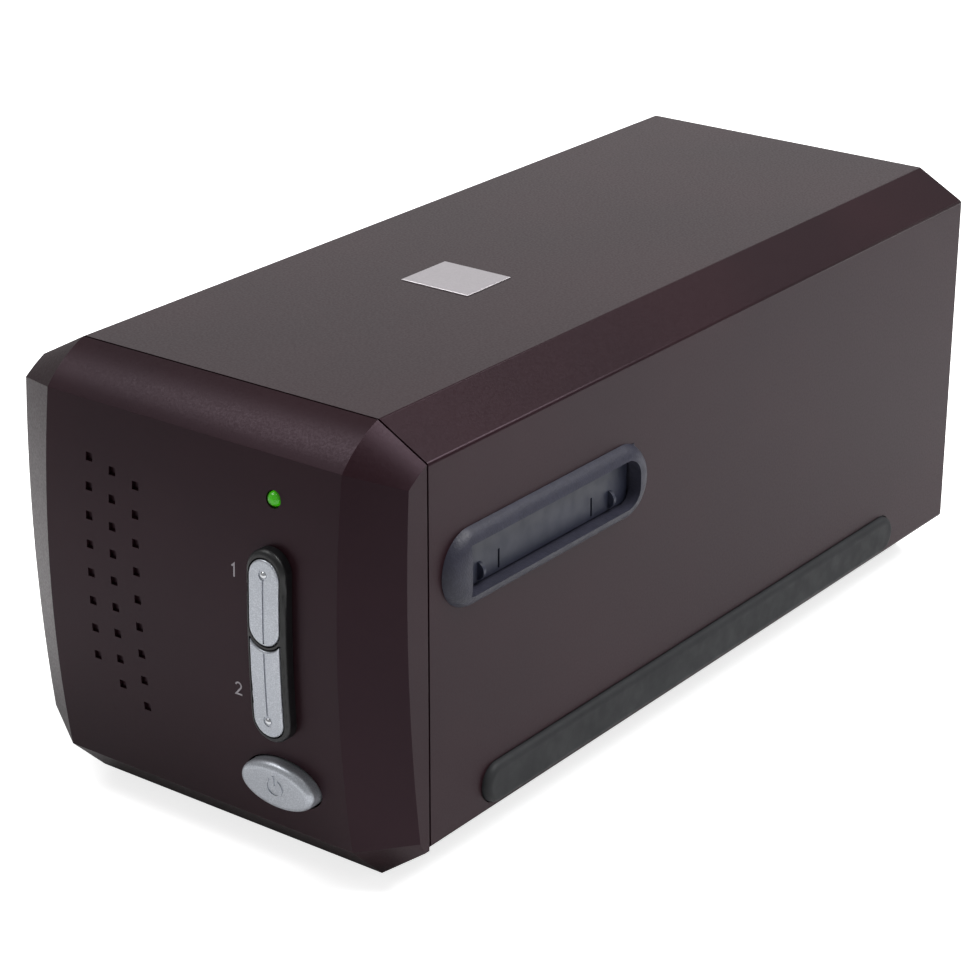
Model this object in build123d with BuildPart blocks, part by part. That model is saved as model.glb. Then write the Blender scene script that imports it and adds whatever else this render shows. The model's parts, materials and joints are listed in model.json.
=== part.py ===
from build123d import *
import os
from math import sqrt

os.makedirs("parts", exist_ok=True)

# Film negative scanner. Millimetres, +Z up, front towards -Y.
# The origin is under the middle of the case, on the surface the feet stand on.

# ---- case -------------------------------------------------------------------
body_width = 120.0
shell_depth = 250.0
side_height = 98.1
corner_run = 14.0
corner_rise = 7.65
low_corner_rise = 11.6
wall = 2.5
edge_round = 1.0
seam_gap = 0.6
fit_gap = 0.15
touch_gap = 0.05
foot_height = 1.4
foot_radius = 7.0
foot_seat = 0.8
foot_round = 0.6

half_width = body_width / 2
flat_half = half_width - corner_run
low_z = foot_height + low_corner_rise
side_top_z = low_z + side_height
top_z = side_top_z + corner_rise

# ---- front bezel ------------------------------------------------------------
bezel_depth = 16.0
bezel_radius = 330.0
bezel_apex = 52.0
bezel_crown = side_height - 1.6
bezel_sill = -1.0
bezel_toe = 0.8
crown_bulge = 1.0
edge_depth = 7.5
edge_radius = 480.0
edge_apex = 64.5
edge_crown = side_height - 4.1
edge_sill = 2.3
edge_toe = 1.6
edge_drop = 1.0
edge_bulge = 0.2
lip_depth = 1.2
lip_inset = 1.25
corner_share = 0.6
toe_share = 1.3
tongue_wall = 1.5
tongue_length = 4.0

# ---- buttons and light ------------------------------------------------------
button_x = 26.9
frame_width = 11.7
frame_length = 49.6
frame_middle = 49.9
frame_stand = 3.25
frame_floor = 0.8
frame_round = 1.3
cap_width = 8.9
cap_stand = 3.6
cap_thickness = 1.7
cap_gap = 0.4
cap_split = 1.35
upper_cap_low = 50.9
upper_cap_length = 21.6
lower_cap_low = 26.8
groove_width = 0.5
groove_depth = 0.35
groove_margin = 0.5
cap_round = 0.45
cap_hollow_share = 0.62
dot_radius = 1.0
dot_rise = 0.35
dot_shift = 0.7
dish_radius = 1.35
dish_depth = 0.25
stem_width = 4.0
stem_height = 5.0
upper_stem_height = 60.0
lower_stem_height = 38.0
stem_gap = 0.4
collar_rim = 0.9
collar_thickness = 1.0
scan_travel = 0.7
power_width = 22.3
power_height = 12.6
power_z = 12.7
power_stand = 3.8
power_gap = 0.5
power_round = 1.9
power_skirt = 1.2
power_travel = 1.2
mark_radius = 2.6
mark_line = 0.6
mark_rise = 0.25
mark_root = 0.5
mark_bar_share = 0.75
light_x = 26.5
light_z = side_height - 12.1
light_radius = 1.9
light_rise = 1.0
light_gap = 0.3
light_flange = 1.0
rest_gap = 0.3

# ---- vent pockets: x, highest pocket and pitch of each column ---------------
pocket_size = 2.15
pocket_depth = 0.9
pocket_reach = 2.0
pocket_columns = [(-31.6, 82.35, 7.52), (-24.0, 80.5, 7.1), (-16.4, 78.7, 7.37)]
pocket_counts = [8, 9, 9]

# ---- button board -----------------------------------------------------------
board_thickness = 1.6
button_board_back = 1.4
board_post_inset = 4.0
board_post_middle = 48.0
board_screw_head = 1.2
board_screw_head_radius = 1.9
board_screw_length = 4.0
button_board_left = 8.0
button_board_right = 40.0
button_board_low = 4.0
button_board_high = side_height - 5.1
switch_size = 6.0
switch_height = 3.5
plunger_radius = 1.7
plunger_rise = 1.0
board_post_radius = 2.5
board_screw_radius = 1.0
emitter_size = 2.4
emitter_height = 1.2

# ---- film slot --------------------------------------------------------------
slot_middle_y = 47.1
slot_middle_z = 68.05
slot_length = 69.2
slot_height = 13.1
slot_round = 5.0
slot_corner = 0.6
ring_length = slot_length + 13.3
ring_shift = 0.7
ring_height = 19.9
ring_middle_z = 67.85
ring_stand = 3.5
ring_crown = 4.0
ring_edge_slope = 0.35
ring_anchor = 0.3
tunnel_length = slot_length + 1.0
tunnel_floor = 61.3
tunnel_ceiling = 75.6
tunnel_wall = 1.0
tunnel_reach = 14.0
door_pivot_x = half_width - 1.6
door_pivot_z = 73.9
door_barrel_radius = 1.15
door_pin_radius = 0.65
pin_fit = 0.02
door_running_gap = 0.06
door_thickness = 1.2
door_face_x = half_width - 0.7
door_end_gap = 0.3
door_low = 61.8
door_panel_length = 38.0
door_slit_width = 0.7
door_slit_depth = 0.5
door_slit_high = 67.5
door_slit_low = 0.6
door_fin_spacing = 53.5
door_fin_thickness = 1.0
door_fin_radius = 1.8
door_fin_z = 64.6

# ---- side strips and badge --------------------------------------------------
strip_start = 20.8
strip_end = 217.6
strip_low = 1.3
strip_high = 12.0
strip_stand = 1.9
strip_round = 1.8
recess_depth = 1.0
recess_gap = 0.3
badge_width = 21.4
badge_length = 18.3
badge_start = 80.0
badge_thickness = 0.6
badge_recess = 0.35
badge_bevel = 0.12

# ---- rear panel -------------------------------------------------------------
cover_screw_x = half_width - 12.0
cover_screw_front = 14.0
cover_screw_rear = 15.5
cover_block_width = 10.0
cover_block_height = 8.0
cover_block_inner = half_width - 17.0
cover_screw_sink = 6.0
foot_x = half_width - 24.0
foot_front = 22.0
foot_rear = 26.0
panel_recess = 1.0
panel_thickness = 2.5
boss_radius = 4.5
boss_length = 12.0
boss_x = half_width - 6.7
boss_low = 12.0
boss_high = side_height - 10.1
screw_radius = 1.5
screw_gap = 0.2
screw_head_radius = 2.75
screw_head_height = 1.6
screw_head_gap = 0.4
screw_length = 9.0
screw_cross_length = 3.2
screw_cross_width = 0.7
screw_cross_depth = 1.0
panel_head_share = 0.6
vent_rows = 6
vent_low = 56.0
vent_pitch = 5.0
vent_half_width = 24.0
vent_half_height = 0.9
port_socket_sink = 0.3

# ---- chassis and optics -----------------------------------------------------
plate_low = 4.0
plate_thickness = 2.0
plate_start = 8.0
plate_end = 228.0
plate_narrow = half_width - 18.0
plate_wide = half_width - 8.0
plate_step = 24.0
chassis_screw_length = 6.0
post_x = half_width - 20.0
post_front = 30.0
post_rear = 218.0
post_radius = 4.0
rod_x = half_width - 34.0
rod_z = 22.0
rod_radius = 3.0
rod_gap = 0.05
upright_thickness = 4.0
upright_front = 12.0
upright_rear = 218.0
upright_high = 31.0
upright_half = rod_x + 7.0
rod_overhang = 1.5
rod_lead_in = 0.5

scan_home = 66.0
bed_front = 12.0
bed_half = rod_x - 3.5
bed_low = 14.0
bed_high = 48.0
bed_wall = 2.0
ear_radius = 5.0
ear_length = 12.0
ear_front = 4.0
ear_rear = 78.0
beam_z = 32.0
mirror_width = 2 * bed_half - 7.0
mirror_length = 24.0
mirror_thickness = 2.0
cheek_thickness = 1.2
cheek_front = 7.8
cheek_rear = 12.0
lens_offset = 62.0
lens_length = 20.0
lens_radius = 8.0
lens_wall = 1.5
lens_gap = 0.1
lens_block_side = 3.0
lens_block_inset = 4.0
lens_glass_depth = 3.0
sensor_offset = 116.0
sensor_width = mirror_width
sensor_height = 9.0
sensor_depth = 3.0
sensor_board_rise = 4.0

screw_x = rod_x + 17.0
lead_screw_radius = 2.5
lead_screw_inset = 0.5
lead_screw_flat = 0.4
motor_start = 166.0
motor_length = 20.0
motor_radius = 12.5
motor_boss_radius = 4.0
motor_boss_length = 1.2
motor_bevel = 0.8
motor_bore_depth = 6.0
bracket_reach = 11.0
bracket_rise = 10.0
bracket_foot = 12.0
bracket_thickness = 2.0
bearing_start = 99.0
bearing_length = 5.0
bearing_half = 5.0
nut_offset = 82.0
nut_length = 8.0
nut_flange = 1.5
nut_radius = 5.0
nut_wall = 1.8
nut_gap = 0.08

channel_side = 0.3
channel_floor = 61.0
channel_ceiling = 75.2
channel_wall = 2.0
channel_half = half_width - 17.0
window_half = 20.0
window_start = 28.0
window_end = 71.0
channel_post_x = channel_half - 5.0
channel_post_front = 20.0
channel_post_rear = 76.0
lamp_half = 24.0
lamp_start = 24.0
lamp_end = 75.0
lamp_height = 15.0
lamp_wall = 1.5
diffuser_thickness = 2.0
lamp_board_drop = 3.0
lamp_led_size = 3.0
lamp_led_pitch = 9.0
lamp_led_rows = 4
lamp_led_height = 1.0

main_board_gap = 6.0
main_board_half = half_width - 16.0
main_board_low = 14.0
main_board_high = side_height - 14.1
spacer_inset = 4.0
spacer_radius = 3.0
board_chips = [(-21.0, 59.0, 18.0, 1.8), (9.0, 61.0, 10.0, 1.4), (-27.0, 26.0, 9.0, 2.5)]
capacitor_places = [26.0, 36.0]
capacitor_z = 40.0
capacitor_radius = 4.0
capacitor_length = 11.0
usb_x = -18.0
usb_z = 30.0
usb_width = 12.0
usb_height = 11.0
usb_wall = 1.6
usb_bore_depth = 7.0
usb_tongue = 5.5
usb_tongue_half = 2.8
jack_x = 12.0
jack_z = 30.0
jack_width = 9.0
jack_height = 11.0
jack_bore_radius = 3.0
jack_pin_radius = 1.0
jack_bore_depth = 7.0
port_gap = 0.4

cable_width = 20.0
cable_thickness = 0.3
cable_radius_share = 0.185
cable_lead_share = 0.27
cable_peak_drop = 9.75
cable_rise = 2.0
cable_socket_depth = 4.0
cable_socket_height = 5.0
cable_socket_drop = 10.5
cable_socket_rim = 2.0
home_x = -rod_x - 10.0
home_half = 4.0
home_drop = 2.5
home_slot_half = 1.5
home_slot_low = 9.5
home_offset = 109.0
flag_thickness = 1.2
flag_length = 6.0
flag_low = 11.0
flag_clearance = 2.5

# ---- places worked out from the sizes ---------------------------------------
# seam_y is where the bezel meets the case, and puts the origin under the middle.
front_reach = bezel_depth + cap_stand
seam_y = (front_reach - shell_depth) / 2
rear_y = seam_y + shell_depth
arc_y = seam_y - bezel_depth + bezel_radius
arc_z = low_z + bezel_apex
front_plane = Plane.XZ.offset(-seam_y)
front_room = front_reach + 12.0


def block(low, high, mode=Mode.ADD):
    """Adds a box between two corners to the part being built."""
    size = [high[i] - low[i] for i in range(3)]
    middle = [(high[i] + low[i]) / 2 for i in range(3)]
    with Locations(tuple(middle)):
        Box(*size, mode=mode)


def shaft(x, z, start, end, radius, mode=Mode.ADD):
    """Adds a cylinder that lies along Y."""
    with Locations((x, (start + end) / 2, z)):
        Cylinder(radius, end - start, rotation=(90, 0, 0), mode=mode)


def pillar(x, y, low, high, radius, mode=Mode.ADD):
    """Adds an upright cylinder."""
    with Locations((x, y, (low + high) / 2)):
        Cylinder(radius, high - low, mode=mode)


def case_outline(y, inset):
    """The eight-sided section of the case at a depth y, drawn in by inset."""
    corners = [
        (-half_width, low_z),
        (-half_width, side_top_z),
        (-flat_half, top_z),
        (flat_half, top_z),
        (half_width, side_top_z),
        (half_width, low_z),
        (flat_half, foot_height),
        (-flat_half, foot_height),
    ]
    with BuildSketch(Plane.XZ.offset(-y)) as outline:
        with BuildLine():
            Polyline(*corners, close=True)
        make_face()
        if inset > 0:
            offset(amount=-inset, kind=Kind.INTERSECTION)
        else:
            fillet(outline.vertices(), radius=edge_round)
    return outline.sketch


def face_y(z, inset=0.0):
    """Where the middle of the bezel's curved face lies at height z."""
    return arc_y - sqrt((bezel_radius - inset) ** 2 - (z - arc_z) ** 2)


def bezel_section(x, inset, depth, radius, apex, crown, sill, toe, top, bottom, bulge):
    """One side-on section of the bezel. inset draws it in to make the hollow."""
    centre_y = seam_y - depth + radius
    apex_z = low_z + apex
    crown_z = low_z + crown - corner_share * inset
    sill_z = low_z + sill + corner_share * inset
    toe_z = bottom + toe_share * inset

    def arc_point(z):
        return (centre_y - sqrt((radius - inset) ** 2 - (z - apex_z) ** 2), z)

    top_back = (seam_y, top - inset)
    top_front = arc_point(crown_z)
    run = top_back[0] - top_front[0]
    rise = top_back[1] - top_front[1]
    chord = sqrt(run**2 + rise**2)
    top_middle = (
        (top_back[0] + top_front[0]) / 2 - bulge * rise / chord,
        (top_back[1] + top_front[1]) / 2 + bulge * run / chord,
    )
    toe_front = (seam_y - toe, toe_z)
    toe_back = (seam_y, toe_z)
    with BuildSketch(Plane.YZ.offset(x)) as section:
        with BuildLine():
            ThreePointArc(top_back, top_middle, top_front)
            ThreePointArc(top_front, arc_point((crown_z + sill_z) / 2), arc_point(sill_z))
            Polyline(arc_point(sill_z), toe_front, toe_back, top_back)
        make_face()
    return section.sketch


def bezel_sections(inset, edge_x, flat_x):
    """The four sections that the bezel runs through, from left to right."""
    centre = (
        bezel_depth, bezel_radius, bezel_apex, bezel_crown, bezel_sill, bezel_toe,
        top_z, foot_height, crown_bulge,
    )
    edge = (
        edge_depth, edge_radius, edge_apex, edge_crown, edge_sill, edge_toe,
        side_top_z, low_z - edge_drop, edge_bulge,
    )
    return [
        bezel_section(-edge_x, inset, *edge),
        bezel_section(-flat_x, inset, *centre),
        bezel_section(flat_x, inset, *centre),
        bezel_section(edge_x, inset, *edge),
    ]


def curved_prism(outline, back, front):
    """A prism through the bezel whose two ends follow the bezel's curved face."""
    with BuildPart() as prism:
        extrude(outline, amount=front_room)
        with Locations((0, arc_y, arc_z)):
            Cylinder(bezel_radius + front, body_width, rotation=(0, 90, 0), mode=Mode.INTERSECT)
            Cylinder(bezel_radius + back, body_width * 2, rotation=(0, 90, 0), mode=Mode.SUBTRACT)
    return prism.part


def stadium(x, z, length, width):
    """An upright stadium on the plane of the case's front end."""
    with BuildSketch(front_plane) as outline:
        with Locations((x, z)):
            SlotOverall(length, width, rotation=90)
    return outline.sketch


def oval(x, z, width, height):
    with BuildSketch(front_plane) as outline:
        with Locations((x, z)):
            Ellipse(width / 2, height / 2)
    return outline.sketch


def save(piece, name):
    piece.label = name
    export_step(piece, "parts/" + name + ".step")


# ---- shared heights and depths ----------------------------------------------
frame_z = low_z + frame_middle
upper_middle_z = low_z + upper_cap_low + upper_cap_length / 2
upper_end_z = low_z + upper_cap_low + cap_width / 2
lower_end_z = low_z + lower_cap_low + cap_width / 2
upper_dot_z = low_z + upper_cap_low + upper_cap_length - cap_width / 2 + dot_shift
power_centre_z = low_z + power_z
light_centre_z = low_z + light_z
button_board_rear = seam_y - button_board_back
button_board_front = button_board_rear - board_thickness
plunger_tip = button_board_front - switch_height - plunger_rise
scan_stem_end = plunger_tip - rest_gap - scan_travel
power_stem_end = plunger_tip - rest_gap - power_travel
upper_stem_z = low_z + upper_stem_height
lower_stem_z = low_z + lower_stem_height
button_stems = [upper_stem_z, lower_stem_z]
board_posts = [
    (button_board_left + board_post_inset, low_z + button_board_high - 2 * board_post_inset),
    (button_board_right - board_post_inset / 2, low_z + button_board_high - 3.5 * board_post_inset),
    (button_board_left + board_post_inset, low_z + button_board_low + 3 * board_post_inset),
    (button_board_left + board_post_inset, low_z + board_post_middle),
]

# ---- front bezel ------------------------------------------------------------
bezel_outer = bezel_sections(0.0, half_width, flat_half)
bezel_inner = bezel_sections(wall, half_width - wall, flat_half - wall / 2)
power_opening = oval(button_x, power_centre_z, power_width + 2 * power_gap, power_height + 2 * power_gap)
lip_outer = case_outline(seam_y, lip_inset)
tongue_outer = case_outline(seam_y, wall + fit_gap)
tongue_inner = case_outline(seam_y, wall + fit_gap + tongue_wall)

with BuildPart() as front_bezel:
    loft(sections=bezel_outer, ruled=True)
    loft(sections=bezel_inner, ruled=True, mode=Mode.SUBTRACT)
    extrude(lip_outer, amount=lip_depth)
    extrude(tongue_outer, amount=-tongue_length)
    extrude(tongue_inner, amount=lip_depth, mode=Mode.SUBTRACT)
    extrude(tongue_inner, amount=-tongue_length, mode=Mode.SUBTRACT)
    for post_at_x, post_at_z in board_posts:
        shaft(post_at_x, post_at_z, face_y(post_at_z) + wall / 2, button_board_front, board_post_radius)
    for post_at_x, post_at_z in board_posts:
        shaft(
            post_at_x, post_at_z, face_y(post_at_z) + 1.5 * wall, button_board_front,
            board_screw_radius, Mode.SUBTRACT,
        )
    for (column_x, highest, pitch), count in zip(pocket_columns, pocket_counts):
        for step in range(count):
            pocket_z = low_z + highest - step * pitch
            block(
                (column_x - pocket_size / 2, face_y(pocket_z) - pocket_reach, pocket_z - pocket_size / 2),
                (column_x + pocket_size / 2, face_y(pocket_z) + pocket_depth, pocket_z + pocket_size / 2),
                Mode.SUBTRACT,
            )
    for stem_z in button_stems:
        block(
            (button_x - stem_width / 2 - stem_gap, seam_y - front_room, stem_z - stem_height / 2 - stem_gap),
            (button_x + stem_width / 2 + stem_gap, seam_y - 8, stem_z + stem_height / 2 + stem_gap),
            Mode.SUBTRACT,
        )
    extrude(power_opening, amount=front_room, mode=Mode.SUBTRACT)
    shaft(light_x, light_centre_z, seam_y - front_room, seam_y - 8, light_radius + light_gap, Mode.SUBTRACT)
save(front_bezel.part, "front_bezel")

# ---- button frame and caps --------------------------------------------------
frame_outline = stadium(button_x, frame_z, frame_length, frame_width)
frame_blank = curved_prism(frame_outline, touch_gap, frame_stand)
upper_outline = stadium(button_x, upper_middle_z, upper_cap_length, cap_width)
upper_well = stadium(button_x, upper_middle_z, upper_cap_length + 2 * cap_gap, cap_width + 2 * cap_gap)


def lower_shape(extra):
    """The lower cap's outline: a round bottom end, and a hollow top under the upper cap."""
    half = cap_width / 2 + extra
    keep_off = cap_width / 2 + cap_split - extra
    with BuildSketch(front_plane) as outline:
        with Locations((button_x, (lower_end_z + upper_end_z) / 2)):
            Rectangle(2 * half, upper_end_z - lower_end_z)
        with Locations((button_x, lower_end_z)):
            Circle(half)
        with Locations((button_x, upper_end_z)):
            Circle(keep_off, mode=Mode.SUBTRACT)
        with Locations((button_x, upper_end_z)):
            Rectangle(2 * half + 2, 2 * keep_off * cap_hollow_share, mode=Mode.SUBTRACT)
    return outline.sketch


lower_outline = lower_shape(0.0)
lower_well = lower_shape(cap_gap)
upper_hollow = curved_prism(upper_well, frame_floor, frame_stand + 2)
lower_hollow = curved_prism(lower_well, frame_floor, frame_stand + 2)

with BuildPart() as button_frame:
    add(frame_blank)
    outer_edges = button_frame.faces().sort_by(Axis.Y)[0].edges()
    fillet(outer_edges, radius=frame_round)
    add(upper_hollow, mode=Mode.SUBTRACT)
    add(lower_hollow, mode=Mode.SUBTRACT)
    for stem_z in button_stems:
        block(
            (button_x - stem_width / 2 - stem_gap, seam_y - front_room, stem_z - stem_height / 2 - stem_gap),
            (button_x + stem_width / 2 + stem_gap, seam_y, stem_z + stem_height / 2 + stem_gap),
            Mode.SUBTRACT,
        )
save(button_frame.part, "button_frame")


def scan_cap(outline, stem_z, groove_low, groove_high, dot_z):
    """A scan button: cap, stem through the bezel, and a collar that keeps it in."""
    blank = curved_prism(outline, cap_stand - cap_thickness, cap_stand)
    cap_face = face_y(dot_z, -cap_stand)
    stem_start = face_y(stem_z, -cap_stand) + cap_thickness / 2
    inner_wall = face_y(stem_z, wall)
    groove_blank = curved_prism(
        stadium(button_x, (groove_low + groove_high) / 2, groove_high - groove_low, groove_width),
        cap_stand - groove_depth,
        cap_stand + 1,
    )
    with BuildPart() as cap:
        add(blank)
        fillet(cap.faces().sort_by(Axis.Y)[0].edges(), radius=cap_round)
        add(groove_blank, mode=Mode.SUBTRACT)
        shaft(button_x, dot_z, cap_face - 1, cap_face + dish_depth, dish_radius, Mode.SUBTRACT)
        with Locations((button_x, cap_face + dot_radius - dot_rise, dot_z)):
            Sphere(dot_radius)
        block(
            (button_x - stem_width / 2, stem_start, stem_z - stem_height / 2),
            (button_x + stem_width / 2, scan_stem_end, stem_z + stem_height / 2),
        )
        block(
            (
                button_x - stem_width / 2 - collar_rim,
                inner_wall + rest_gap,
                stem_z - stem_height / 2 - collar_rim,
            ),
            (
                button_x + stem_width / 2 + collar_rim,
                inner_wall + rest_gap + collar_thickness,
                stem_z + stem_height / 2 + collar_rim,
            ),
        )
    return cap.part


upper_scan_button = scan_cap(
    upper_outline, upper_stem_z, low_z + upper_cap_low + groove_margin, upper_dot_z - dot_radius, upper_dot_z
)
save(upper_scan_button, "upper_scan_button")
lower_dot_z = lower_end_z - dot_shift / 2
lower_groove_high = low_z + upper_cap_low - cap_split - groove_margin
lower_scan_button = scan_cap(
    lower_outline, lower_stem_z, lower_dot_z + dot_radius, lower_groove_high, lower_dot_z
)
save(lower_scan_button, "lower_scan_button")

# ---- power button -----------------------------------------------------------
power_outline = oval(button_x, power_centre_z, power_width, power_height)
power_blank = curved_prism(power_outline, -power_skirt, power_stand)
power_wall = face_y(power_centre_z, wall)
power_collar = power_wall + 2 * rest_gap

with BuildSketch(front_plane) as power_ring:
    with Locations((button_x, power_centre_z)):
        Circle(mark_radius)
        Circle(mark_radius - mark_line, mode=Mode.SUBTRACT)
    with Locations((button_x, power_centre_z + mark_radius)):
        Rectangle(mark_radius, 2 * mark_line + 1, mode=Mode.SUBTRACT)
    with Locations((button_x, power_centre_z + mark_radius * mark_bar_share)):
        Rectangle(mark_line, mark_radius)
power_mark = curved_prism(power_ring.sketch, power_stand - mark_root, power_stand + mark_rise)

with BuildPart() as power_button:
    add(power_blank)
    fillet(power_button.faces().sort_by(Axis.Y)[0].edges(), radius=power_round)
    add(power_mark)
    block(
        (button_x - stem_height / 2, power_wall - wall, power_centre_z - stem_width / 2),
        (
            button_x + stem_height / 2,
            max(power_stem_end, power_collar + collar_thickness / 2),
            power_centre_z + stem_width / 2,
        ),
    )
    block(
        (button_x - power_width / 2 - collar_rim - power_gap, power_collar, power_centre_z - stem_width / 2),
        (
            button_x + power_width / 2 + collar_rim + power_gap,
            power_collar + collar_thickness,
            power_centre_z + stem_width / 2,
        ),
    )
save(power_button.part, "power_button")

# ---- status light -----------------------------------------------------------
light_dome_y = face_y(light_centre_z) - light_rise + light_radius
light_inside = face_y(light_centre_z, wall)
emitter_front = button_board_front - emitter_height

with BuildPart() as status_light_lens:
    shaft(light_x, light_centre_z, light_dome_y, emitter_front - rest_gap, light_radius)
    with Locations((light_x, light_dome_y, light_centre_z)):
        Sphere(light_radius)
    shaft(
        light_x, light_centre_z, light_inside + rest_gap, light_inside + rest_gap + light_flange,
        light_radius + light_flange,
    )
save(status_light_lens.part, "status_light_lens")

# ---- button board -----------------------------------------------------------
with BuildPart() as button_board:
    block(
        (button_board_left, button_board_front + touch_gap, low_z + button_board_low),
        (button_board_right, button_board_rear, low_z + button_board_high),
    )
    for post_at_x, post_at_z in board_posts:
        shaft(
            post_at_x, post_at_z, button_board_front - 1, button_board_rear + 1,
            board_screw_radius + screw_gap, Mode.SUBTRACT,
        )
save(button_board.part, "button_board")

with BuildPart() as button_switches:
    for switch_z in [upper_stem_z, lower_stem_z, power_centre_z]:
        block(
            (button_x - switch_size / 2, button_board_front - switch_height, switch_z - switch_size / 2),
            (button_x + switch_size / 2, button_board_front, switch_z + switch_size / 2),
        )
        shaft(button_x, switch_z, plunger_tip, button_board_front - switch_height, plunger_radius)
save(button_switches.part, "button_switches")

with BuildPart() as status_light_emitter:
    block(
        (light_x - emitter_size / 2, emitter_front, light_centre_z - emitter_size / 2),
        (light_x + emitter_size / 2, button_board_front, light_centre_z + emitter_size / 2),
    )
save(status_light_emitter.part, "status_light_emitter")

with BuildPart() as button_board_screws:
    for post_at_x, post_at_z in board_posts:
        head_rear = button_board_rear + board_screw_head
        shaft(post_at_x, post_at_z, button_board_rear + touch_gap, head_rear, board_screw_head_radius)
        shaft(
            post_at_x, post_at_z, button_board_rear - board_screw_length, head_rear,
            board_screw_radius - touch_gap,
        )
save(button_board_screws.part, "button_board_screws")

# ---- body cover and bottom cover --------------------------------------------
slot_y = seam_y + slot_middle_y
ring_z = low_z + ring_middle_z
slot_z = low_z + slot_middle_z
tunnel_low = low_z + tunnel_floor
tunnel_high = low_z + tunnel_ceiling
strip_middle_y = seam_y + (strip_start + strip_end) / 2
strip_middle_z = low_z + (strip_low + strip_high) / 2
strip_length = strip_end - strip_start
strip_height = strip_high - strip_low
panel_rear = rear_y - panel_recess
panel_front = panel_rear - panel_thickness
case_front = seam_y + seam_gap
case_outer = case_outline(case_front, 0.0)
case_inner = case_outline(case_front, wall)
case_length = rear_y - case_front
cover_screws = [
    (side * cover_screw_x, place)
    for side in (-1, 1)
    for place in (seam_y + cover_screw_front, rear_y - cover_screw_rear)
]
panel_bosses = [(side * boss_x, low_z + height) for side in (-1, 1) for height in (boss_low, boss_high)]
chassis_posts = [
    (side * post_x, seam_y + place) for side in (-1, 1) for place in (post_front, post_rear)
]
feet = [
    (side * foot_x, place) for side in (-1, 1) for place in (seam_y + foot_front, rear_y - foot_rear)
]
block_top = low_z + cover_block_height

with BuildSketch(Plane.YZ.offset(half_width - recess_depth)) as strip_recess:
    with Locations((strip_middle_y, strip_middle_z)):
        SlotOverall(strip_length + 2 * recess_gap, strip_height + 2 * recess_gap)

with BuildPart() as strip_pocket:
    extrude(strip_recess.sketch, amount=recess_depth + 1)

with BuildPart() as body_cover:
    extrude(case_outer, amount=-case_length)
    extrude(case_inner, amount=-case_length, mode=Mode.SUBTRACT)
    split(bisect_by=Plane.XY.offset(low_z), keep=Keep.TOP)
    block(
        (-body_width, slot_y - tunnel_length / 2 - tunnel_wall - fit_gap, tunnel_low - tunnel_wall - fit_gap),
        (body_width, slot_y + tunnel_length / 2 + tunnel_wall + fit_gap, tunnel_high + tunnel_wall + fit_gap),
        Mode.SUBTRACT,
    )
    add(strip_pocket.part, mode=Mode.SUBTRACT)
    mirror(strip_pocket.part, about=Plane.YZ, mode=Mode.SUBTRACT)
    block(
        (-badge_width / 2 - fit_gap, seam_y + badge_start - fit_gap, top_z - badge_recess),
        (badge_width / 2 + fit_gap, seam_y + badge_start + badge_length + fit_gap, top_z + 1),
        Mode.SUBTRACT,
    )
    for boss_at_x, boss_at_z in panel_bosses:
        shaft(boss_at_x, boss_at_z, panel_front - boss_length, panel_front - touch_gap, boss_radius)
    for screw_at_x, screw_at_y in cover_screws:
        reach = half_width - wall / 2 - cover_screw_x
        inward = cover_screw_x - cover_block_inner
        left = screw_at_x - (inward if screw_at_x > 0 else reach)
        right = screw_at_x + (reach if screw_at_x > 0 else inward)
        block(
            (left, screw_at_y - cover_block_width / 2, low_z + touch_gap),
            (right, screw_at_y + cover_block_width / 2, block_top),
        )
    for boss_at_x, boss_at_z in panel_bosses:
        shaft(
            boss_at_x, boss_at_z, panel_front - boss_length - 1, panel_front + 1,
            screw_radius, Mode.SUBTRACT,
        )
    for screw_at_x, screw_at_y in cover_screws:
        pillar(screw_at_x, screw_at_y, low_z - 1, block_top + 1, screw_radius, Mode.SUBTRACT)
save(body_cover.part, "body_cover")

with BuildPart() as bottom_cover:
    extrude(case_outer, amount=-case_length)
    extrude(case_inner, amount=-case_length, mode=Mode.SUBTRACT)
    split(bisect_by=Plane.XY.offset(low_z - touch_gap), keep=Keep.BOTTOM)
    for post_at_x, post_at_y in chassis_posts:
        pillar(post_at_x, post_at_y, foot_height + wall / 2, low_z + plate_low, post_radius)
    for screw_at_x, screw_at_y in cover_screws:
        pillar(screw_at_x, screw_at_y, foot_height + wall, low_z - touch_gap, post_radius)
    extrude(case_outer, amount=-case_length, mode=Mode.INTERSECT)
    for foot_at_x, foot_at_y in feet:
        pillar(
            foot_at_x, foot_at_y, foot_height - 1, foot_height + foot_seat,
            foot_radius + fit_gap, Mode.SUBTRACT,
        )
    for screw_at_x, screw_at_y in cover_screws:
        pillar(screw_at_x, screw_at_y, foot_height - 1, low_z + 1, screw_radius + screw_gap, Mode.SUBTRACT)
        pillar(
            screw_at_x, screw_at_y, foot_height - 1, foot_height + cover_screw_sink,
            screw_head_radius + screw_head_gap, Mode.SUBTRACT,
        )
    for post_at_x, post_at_y in chassis_posts:
        pillar(post_at_x, post_at_y, foot_height + wall, low_z + plate_low + 1, screw_radius, Mode.SUBTRACT)
save(bottom_cover.part, "bottom_cover")

with BuildPart() as bottom_cover_screws:
    for screw_at_x, screw_at_y in cover_screws:
        head_top = foot_height + cover_screw_sink - touch_gap
        pillar(screw_at_x, screw_at_y, head_top - screw_head_height, head_top, screw_head_radius)
        pillar(
            screw_at_x, screw_at_y, head_top - screw_head_height / 3, head_top + screw_length,
            screw_radius - touch_gap,
        )
save(bottom_cover_screws.part, "bottom_cover_screws")

with BuildPart() as rubber_feet:
    for foot_at_x, foot_at_y in feet:
        pillar(foot_at_x, foot_at_y, 0, foot_height + foot_seat - touch_gap, foot_radius)
    fillet(rubber_feet.faces().filter_by(Plane.XY).group_by(Axis.Z)[0].edges(), radius=foot_round)
save(rubber_feet.part, "rubber_feet")

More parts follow.
